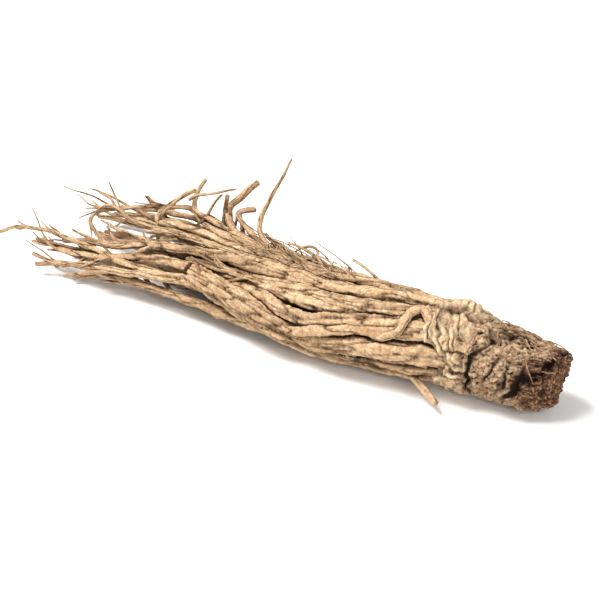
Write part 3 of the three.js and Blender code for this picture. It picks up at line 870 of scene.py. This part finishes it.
fold = crease(np.stack([drape / 2.6, round_y / 8, round_z / 8], axis=1), 0.17, 51)
fine_fold = crease(np.stack([drape / 1.3, round_y / 4, round_z / 4], axis=1), 0.22, 52)
pit = np.maximum(uneven(swirl / 1.25, 53) - 0.2, 0)
crack = crease(swirl / [1.9, 1.5, 1.5], 0.2, 54)
fine_crack = crease(swirl / 0.95, 0.22, 55)
end_face = smoothstep(108, 112, places[:, 0])
strand = crease(around / [7, 1.5, 1.5], 0.22, 56) * (1 - end_face)
strand += crease(swirl / [2, 1.3, 2.6], 0.22, 62) * end_face
fine_strand = crease(around / [3, 0.9, 0.9], 0.25, 57) * (1 - end_face)
fine_strand += crease(swirl, 0.25, 63) * end_face
lump = 0.9 * uneven(places / 6.0, 58) + 0.5 * uneven(places / 2.8, 59)
grit = uneven(swirl / 0.7, 60)

height = (
    lump
    - folded * (0.6 * fold + 0.25 * fine_fold)
    - pitted * (1.6 * pit + 0.55 * crack + 0.3 * fine_crack)
    - fibrous * (1.0 * strand + 0.5 * fine_strand)
    + (0.1 + 0.16 * pitted) * grit
)
# painted shade in the folds, pits, cracks and between the fibres
painted_shade = (
    folded * (0.55 * fold + 0.25 * fine_fold)
    + pitted * (1.5 * pit + 0.5 * crack + 0.4 * fine_crack)
    + fibrous * (0.75 * strand + 0.5 * fine_strand)
)
for width, points in GROOVES:
    depth_here = np.zeros(len(places))
    for (x0, c0, d0), (x1, c1, d1) in zip(points, points[1:]):
        steps = max(2, int(np.hypot(x1 - x0, math.radians(c1 - c0) * GIRTH) / 0.6))
        for t in np.linspace(0, 1, steps):
            distance = skin_distance(x, clock_w, x0 + t * (x1 - x0), c0 + t * (c1 - c0))
            depth_here = np.maximum(depth_here, (d0 + t * (d1 - d0)) * np.exp(-((distance / width) ** 2)))
    height -= depth_here
    # painted shade along the groove
    painted_shade = np.maximum(painted_shade, np.minimum(depth_here / 1.2, 1))
for at_x, at_clock, depth, reach in HOLLOWS:
    sunk = np.exp(-((skin_distance(x, clock_w, at_x, at_clock) / reach) ** 2))
    height -= depth * sunk
    # painted shade in the pit
    painted_shade = np.maximum(painted_shade, 0.8 * sunk)

# the lower side of the end is darker: partly the old bark's own brown, partly painted shade where the end
# turns under
shaded_lower_end = smoothstep(98, 110, x) * smoothstep(112, 140, clock) * smoothstep(358, 300, clock)
old = 0.42 * pitted + 0.4 * fibrous + 0.5 * shaded_lower_end + 0.25 * end_face
old = np.clip(old + 0.35 * uneven(places / 5, 61) * smoothstep(78, 88, x), 0, 1)
# the front of the end has rotted dark, and a dark seam runs along the top of the neck
rotted = np.exp(-((skin_distance(x, clock_w, 105, 168) / 6) ** 2))
seam = np.exp(-((clock_w - 97) / 9) ** 2) * smoothstep(64, 68, x) * smoothstep(92, 84, x)
old = np.maximum(old, np.maximum(0.95 * rotted, 0.7 * seam))
total_height = on_root * root_height + (1 - on_root) * height
# the bases keep their roots' painted shade in the creases, and the rest takes the crown's own
total_painted_shade = np.clip(on_root * root_painted_shade + (1 - on_root) * painted_shade, 0, 1)
own_grain = np.where(fibrous[:, None] > 0.5, around[:, [1, 2, 0]], swirl)
grain = np.where(on_root[:, None] > 0.5, grain, own_grain)
places = places + normals * total_height[:, None]
places[:, 2] = np.maximum(places[:, 2], 0.02)
crown.data.vertices.foreach_set("co", ((places + SHIFT) * MM).ravel())
for name in ("grain", "painted_shade", "tone"):
    if name in crown.data.attributes:
        crown.data.attributes.remove(crown.data.attributes[name])
set_values(crown, "grain", "FLOAT_VECTOR", grain)
set_values(crown, "painted_shade", "FLOAT", total_painted_shade)
set_values(crown, "tone", "FLOAT", (1 - on_root) * old)
deselect_all()
crown.select_set(True)
bpy.context.view_layer.objects.active = crown
bpy.ops.object.shade_smooth()
pieces["crown"] = crown

# %% [markdown]
# ## What the roots left behind
#
# Small things make a dried root look real: hair-thin rootlets that stand off its upper side, a rootlet
# that was snapped off short under the crown, and the dry fibres of the leaf stalks, which lie along the
# crown's end. All of them are grown like the roots, only thinner or flatter.

# %% Hairs, snapped rootlet and stalk fibres
HAIRS = 110
hairs = []
for i in range(HAIRS):
    frayed = i % 5 > 1     # three hairs in five stand on the frayed upper side
    x = draw.uniform(-16, 34) if frayed else draw.uniform(-60, 66)
    clock = draw.uniform(44, 92) if frayed else draw.uniform(0, 360)
    start = on_envelope(x, clock, 0.95)
    upright = unit(start - on_envelope(x, clock, 0.1))
    back = np.array([-1.0, 0, 0]) * draw.uniform(0.4, 1.5)
    sideways = np.cross(upright, [1, 0, 0]) * draw.normal(0, 0.7)
    length = draw.uniform(6, 16) if frayed else draw.uniform(3, 7)
    points = [
        start + (upright * 0.5 * d * (1 - 0.6 * d / length) + back * d * 0.8 + sideways * d * d / length)
        for d in np.linspace(0, length, 6)
    ]
    points = [np.array([p[0], p[1], max(p[2], 0.5)]) for p in points]
    thick = draw.uniform(0.18, 0.45) if frayed else draw.uniform(0.12, 0.25)
    hairs.append(grow(f"hair_{i}", points, [thick, thick * 0.8, thick * 0.4], 9000 + i, upright, wobble=1.0))
pieces["hair_rootlets"] = join("hair_rootlets", hairs)

peg_route = [np.array([60, -13, 9.2]), np.array([69.5, -18.4, 6.8]), np.array([79, -22.7, 4.2])]
pieces["snapped_rootlet"] = grow("snapped_rootlet", peg_route, [1.5, 1.35, 1.35], 9100, (0, -1, 0),
                                 wobble=0.0, flat=0.05, blunt=0.12)

FIBRES = 90
fibres = []
for i in range(FIBRES):
    x, clock = draw.uniform(98, 110), draw.uniform(0, 360)
    if i % 3 == 0:
        x, clock = draw.uniform(86, 106), draw.uniform(48, 108)
    if skin_distance(x, clock, 104, 170) < 9:     # the rotted front of the end has none
        continue
    length, lean = draw.uniform(3, 6), draw.normal(0, 12)
    steps = np.linspace(0, 1, 5)
    reach = np.minimum(x + length * steps, 113.5)
    arched = 0.93 + 0.03 * np.sin(math.pi * steps)
    points = [on_envelope(reach[k], clock + lean * steps[k], arched[k]) for k in range(5)]
    thick = draw.uniform(0.25, 0.5)
    out = points[0] - on_envelope(x, clock, 0.1)
    fibres.append(grow(f"fibre_{i}", points, [thick, thick, thick * 0.5], 9200 + 10 * i, out,
                       wobble=0.9, flat=0.3, tone=draw.uniform(0.4, 1.0)))
pieces["stalk_fibres"] = join("stalk_fibres", fibres)
print("hairs:", len(hairs), "fibres:", len(fibres))

# %% [markdown]
# ## Painted shade where roots press together
#
# Shade falls in the gaps between roots, and here it is painted into the bark. How crowded a place is can be
# worked out: space is cut into small cells, the cells inside the crown or a root are marked, and the marks
# are blurred. Each point is judged by a place just off its skin: where that still lies among many marks,
# the point is in a gap, and its bark gets painted shade. On a root that place is measured from the smooth
# rod, so that the wrinkles don't count as gaps. Deep inside the bundle, short of the neck, the bark gets
# painted shade too.

# %% Paint shade into the gaps
CELL = 0.7         # mm
CROWN_GAP = (0.42, 0.65)       # how full the place is where the painted shade starts, and where it is darkest
ROOT_GAP = (0.15, 0.34)
corner = np.array([-136.0, -38.0, -3.0])
marks = np.zeros((372, 108, 92), np.float32)      # enough cells to hold the whole root
centres = np.stack(np.meshgrid(*[np.arange(n) for n in marks.shape], indexing="ij"), axis=-1) * CELL + corner
# the crown's own mass fills its envelope, short of the skin
inside = (clock_of(centres)[1] < 0.85) & (past_collar(centres) > 0) & (centres[..., 0] < 113)
marks[inside] = 1
for line, radius in rods:
    for point, r in zip(line, radius):
        first_cell = np.maximum(np.floor((point - r - corner) / CELL).astype(int), 0)
        last_cell = np.ceil((point + r - corner) / CELL).astype(int) + 1
        block = tuple(slice(a, b) for a, b in zip(first_cell, last_cell))
        near = np.linalg.norm(centres[block] - point, axis=-1) < r
        marks[block][near] = 1
BLUR = np.array([1, 3, 4, 3, 1]) / 12
for axis in range(3):
    marks = sum(w * np.roll(marks, k - 2, axis=axis) for k, w in enumerate(BLUR))


def crowding(points):
    """How full the space round each point is, from 0 to 1, read between the cells."""
    at = (points - corner) / CELL
    cell = np.clip(np.floor(at).astype(int), 0, np.array(marks.shape) - 2)
    t = at - cell
    total = np.zeros(len(points))
    for step in itertools.product((0, 1), repeat=3):
        weight = np.prod(np.where(step, t, 1 - t), axis=1)
        total += weight * marks[tuple((cell + step).T)]
    return total


for name, piece in pieces.items():
    places, normals = read_points(piece)
    if name == "crown":
        gap_shade = smoothstep(*CROWN_GAP, crowding(places + normals * OFF_SKIN))
    else:
        outside = np.empty(len(places) * 3, np.float32)
        layer = piece.data.attributes["outside"]
        layer.data.foreach_get("vector", outside)
        piece.data.attributes.remove(layer)
        gap_shade = 0.95 * smoothstep(*ROOT_GAP, crowding(outside.reshape(-1, 3).astype(float)))
    # painted shade deep inside the bundle, fading out towards the tips and at the neck
    deep = 0.9 * smoothstep(0.88, 0.7, clock_of(places)[1]) * smoothstep(-75, -20, places[:, 0])
    gap_shade = np.maximum(gap_shade, deep * smoothstep(66, 60, places[:, 0]))
    kept_painted_shade = np.empty(len(places), np.float32)
    piece.data.attributes["painted_shade"].data.foreach_get("value", kept_painted_shade)
    # the painted shade of the creases and of the gaps together
    with_painted_shade = np.maximum(kept_painted_shade, gap_shade)
    piece.data.attributes["painted_shade"].data.foreach_set("value", with_painted_shade.astype(np.float32))
    print(f"{name:18s} {100 * np.mean(gap_shade > 0.5):5.1f} % of the points lie in gaps")

# %% [markdown]
# ## Materials
#
# There is one finish on the real root, dried bark, but it ages differently. On the branch roots it is a
# tan skin, drawn into fine lines along the root, with painted shade where it folds and where roots press
# together. On the crown it is rougher, greyer and browner, the more so towards the stalks, and it too has
# painted shade in its folds, pits and grooves. Each pattern is read from the grain that was stored on the
# skin, in millimetres, so it runs along every root however it bends.

# %% Colour and nodes
def linear(hex_colour):
    """An sRGB hex colour as the linear RGBA that Blender works in."""
    parts = [int(hex_colour[i:i + 2], 16) / 255 for i in (1, 3, 5)]
    return [p / 12.92 if p <= 0.04045 else ((p + 0.055) / 1.055) ** 2.4 for p in parts] + [1.0]


def node(tree, kind, inputs=None, **settings):
    """Adds a node with its settings, and sets or links its inputs."""
    made = tree.nodes.new(kind)
    for name, value in settings.items():
        setattr(made, name, value)
    for name, value in (inputs or {}).items():
        if isinstance(value, bpy.types.NodeSocket):
            tree.links.new(value, made.inputs[name])
        else:
            made.inputs[name].default_value = value
    return made


def stored(tree, name, output="Fac"):
    """A value or vector that is kept on the skin's points."""
    return node(tree, "ShaderNodeAttribute", attribute_name=name).outputs[output]


def noise(tree, vector, scale, detail, roughness=0.5):
    """How high a noise pattern is; the scale is in patches a unit."""
    return node(tree, "ShaderNodeTexNoise", {
        "Vector": vector, "Scale": scale, "Detail": detail, "Roughness": roughness}).outputs["Fac"]


def coloured(tree, value, stops):
    """A value turned into colour by a ramp; a stop is (place, hex colour)."""
    ramp = node(tree, "ShaderNodeValToRGB", {"Fac": value})
    elements = ramp.color_ramp.elements
    while len(elements) < len(stops):
        elements.new(0.5)
    for element, (place, colour) in zip(elements, stops):
        element.position = place
        element.color = linear(colour)
    return ramp.outputs["Color"]


def mixed(tree, share, first, second, way="MIX"):
    """The first colour with a share of the second mixed in."""
    return node(tree, "ShaderNodeMixRGB", {
        "Fac": share, "Color1": first, "Color2": second}, blend_type=way).outputs["Color"]


def finish_bark(tree, colour, streak, grit, smoothest, strength, depth):
    """Joins a bark's colour to its roughness and bump; depth is in mm."""
    matt = node(tree, "ShaderNodeMapRange", {"Value": grit, "To Min": smoothest, "To Max": 1.0})
    both = node(tree, "ShaderNodeMath", {0: streak, 1: grit}, operation="ADD")
    bump = node(tree, "ShaderNodeBump", {
        "Height": both.outputs["Value"], "Strength": strength, "Distance": depth * MM})
    shader = node(tree, "ShaderNodeBsdfPrincipled", {
        "Base Color": colour, "Roughness": matt.outputs["Result"],
        "Normal": bump.outputs["Normal"], "IOR": 1.45, "Specular IOR Level": 0.2})
    node(tree, "ShaderNodeOutputMaterial", {"Surface": shader.outputs["BSDF"]})


def new_material(name):
    """An empty material and its node tree."""
    material = bpy.data.materials.new(name)
    material.use_nodes = True
    material.node_tree.nodes.clear()
    return material, material.node_tree


# %% Bark of the branch roots
STREAK = 1.0       # mm between the fine lines in the skin
BLOTCH = 9.0       # mm across a paler or browner patch
GRIT = 0.6         # mm, coarser than the real dust so that it shows


def dried_bark():
    """Dried bark: matt and chalky on its ridges, with painted shade in its creases and between the roots."""
    material, tree = new_material("dried_bark")
    grain = stored(tree, "grain", "Vector")
    place = node(tree, "ShaderNodeTexCoord").outputs["Object"]
    drawn = node(tree, "ShaderNodeMapping", {"Vector": grain, "Scale": (1, 1, 0.3)}).outputs["Vector"]
    streak = noise(tree, drawn, 1 / STREAK, 5.0, 0.6)
    grit = noise(tree, grain, 1 / GRIT, 3.0, 0.7)
    blotch = noise(tree, place, 1 / (BLOTCH * MM), 3.0)
    skin = coloured(tree, streak, [
        (0.26, "#ac8c69"), (0.42, "#ccab87"), (0.55, "#dabe9b"), (0.72, "#e4d0b6")])
    patch = coloured(tree, blotch, [(0.32, "#e2ccb2"), (0.5, "#f7eddf"), (0.7, "#fffaf0")])
    dust = coloured(tree, grit, [(0.32, "#b9a38c"), (0.52, "#ffffff")])
    patched = mixed(tree, 0.6, skin, patch, "MULTIPLY")
    dusted = mixed(tree, 0.5, patched, dust, "MULTIPLY")
    aged = mixed(tree, stored(tree, "tone"), dusted, linear("#8a6548"))
    # painted shade: the creases and the gaps between roots mixed towards dark brown
    with_painted_shade = mixed(tree, stored(tree, "painted_shade"), aged, linear("#35200f"))
    finish_bark(tree, with_painted_shade, streak, grit, smoothest=0.78, strength=0.8, depth=0.5)
    return material


# %% Bark of the crown
CORK = 0.9         # mm across a grain of the old cork
CORK_BLOTCH = 4.0  # mm across a paler or browner patch of it


def crown_bark():
    """Old bark: corky, pitted and grey brown, darkest where its stored tone is highest, with painted shade in
    its folds, pits and grooves.
    """
    material, tree = new_material("crown_bark")
    grain = stored(tree, "grain", "Vector")
    place = node(tree, "ShaderNodeTexCoord").outputs["Object"]
    drawn = node(tree, "ShaderNodeMapping", {"Vector": grain, "Scale": (1, 1, 0.4)}).outputs["Vector"]
    streak = noise(tree, drawn, 1 / STREAK, 5.0, 0.62)
    cork = noise(tree, place, 1 / (CORK * MM), 4.0, 0.7)
    blotch = noise(tree, place, 1 / (CORK_BLOTCH * MM), 4.0, 0.6)
    skin = coloured(tree, streak, [
        (0.26, "#bb9872"), (0.42, "#e0c099"), (0.55, "#f0d6b2"), (0.72, "#f9e8cf")])
    old = coloured(tree, cork, [(0.32, "#33201a"), (0.43, "#785640"), (0.54, "#b38767"), (0.7, "#efc8a5")])
    patch = coloured(tree, blotch, [(0.34, "#ccb49b"), (0.5, "#f4ebdf"), (0.66, "#fffaf2")])
    aged = mixed(tree, stored(tree, "tone"), skin, old)
    patched = mixed(tree, 0.6, aged, patch, "MULTIPLY")
    # painted shade: the crown's folds, pits, grooves and gaps mixed towards dark brown
    with_painted_shade = mixed(tree, stored(tree, "painted_shade"), patched, linear("#2a1a11"))
    finish_bark(tree, with_painted_shade, streak, cork, smoothest=0.8, strength=1.0, depth=0.65)
    return material


root_bark, old_bark = dried_bark(), crown_bark()
for name, piece in pieces.items():
    piece.data.materials.clear()
    piece.data.materials.append(old_bark if name in ("crown", "stalk_fibres") else root_bark)

# %% [markdown]
# ## Into the frame
#
# The root is one body, so every piece rides on it, and together they stand for the one solid.

# %% Ride, replace and name the slot
for name, piece in pieces.items():
    piece.name = name
    piece.data.name = name
    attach(piece, "root")
    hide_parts("angelica_root")
    triangles = sum(len(p.vertices) - 2 for p in piece.data.polygons)
    print(f"{name:18s} {triangles:7d} triangles")

# %% [markdown]
# ## Floor and light
#
# A pale matt table and soft studio light: one large lamp above and to the left gives the ridges their
# shape, a weak one fills the front, and a pale sky fills the rest.

# %% Floor, lamps and sky
deselect_all()
bpy.ops.mesh.primitive_plane_add(size=6, location=(0, 0, 0))
floor = bpy.context.object
floor.name = "floor"
table, table_tree = new_material("pale_table")
table_shader = node(table_tree, "ShaderNodeBsdfPrincipled", {
    "Base Color": linear("#f6f4f1"), "Roughness": 0.8})
node(table_tree, "ShaderNodeOutputMaterial", {"Surface": table_shader.outputs["BSDF"]})
floor.data.materials.append(table)


def lamp(name, place, size, power):
    """A square soft lamp, of that size in metres and power in watts, that points at the root."""
    bpy.ops.object.light_add(type="AREA", location=place)
    light = bpy.context.object
    light.name = name
    light.data.size = size
    light.data.energy = power
    light.rotation_euler = (Vector(place) - LOOK_AT).to_track_quat("Z", "Y").to_euler()
    return light


lamp("key_lamp", (-0.45, -0.3, 1.05), 0.5, 22)
lamp("fill_lamp", (0.9, -0.6, 0.6), 0.8, 7)
world = bpy.data.worlds.new("studio")
world.use_nodes = True
world.node_tree.nodes["Background"].inputs["Color"].default_value = (1, 1, 1, 1)
world.node_tree.nodes["Background"].inputs["Strength"].default_value = 0.5
bpy.context.scene.world = world
bpy.context.scene.view_settings.view_transform = "Standard"

# %% [markdown]
# ## Size and finish

# %% Sizes
deselect_all()
